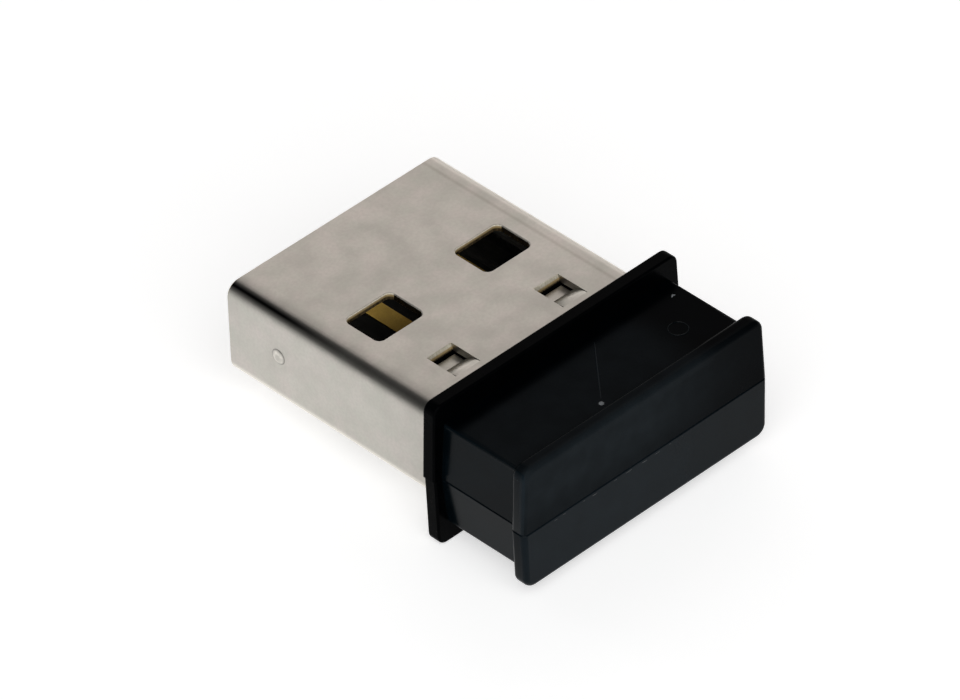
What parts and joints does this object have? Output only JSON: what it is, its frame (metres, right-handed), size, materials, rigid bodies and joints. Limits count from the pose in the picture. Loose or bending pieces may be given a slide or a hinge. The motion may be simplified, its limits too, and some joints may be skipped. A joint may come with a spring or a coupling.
{
  "type": "usb wifi adapter",
  "caption": "Very short USB-A stick: steel plug shell with windows and lanced tabs, gold contacts inside, and a low black plastic grip with flange, waist and end plate.",
  "frame": {"origin": "on the plug's axis, in the face of the grip that seats against the socket", "axes": "+Y out of the plug's mouth, the way it is pushed in; +Z to the side of the plug's open contact gap; X across the plug"},
  "size_m": [0.014, 0.0178, 0.007],
  "materials": {
    "shell_steel": "satin nickel plating",
    "contact_gold": "polished gold plating",
    "cover_plastic": "semi-gloss black",
    "carrier_plastic": "satin black",
    "board_mask": "black solder mask",
    "chip_epoxy": "matte",
    "can_metal": "satin",
    "ceramic": "matte",
    "resistor_film": "satin",
    "ferrite": "matte",
    "antenna_ceramic": "matte",
    "solder": "satin"
  },
  "bodies": {
    "root": {"plug_shell": "shell_steel", "contact_carrier": "carrier_plastic", "circuit_board": "board_mask", "contact_vbus": "contact_gold", "contact_data_minus": "contact_gold", "contact_data_plus": "contact_gold", "contact_ground": "contact_gold", "wifi_chip": "chip_epoxy", "crystal": "can_metal", "small_capacitors": "ceramic", "resistors": "resistor_film", "power_inductor": "ferrite", "bulk_capacitor": "ceramic", "esd_protector": "chip_epoxy", "chip_antenna": "antenna_ceramic", "antenna_matching_parts": "ceramic", "balun_filter": "antenna_ceramic", "shell_solder_joints": "solder", "upper_cover": "cover_plastic", "lower_cover": "cover_plastic"}
  },
  "joints": []
}
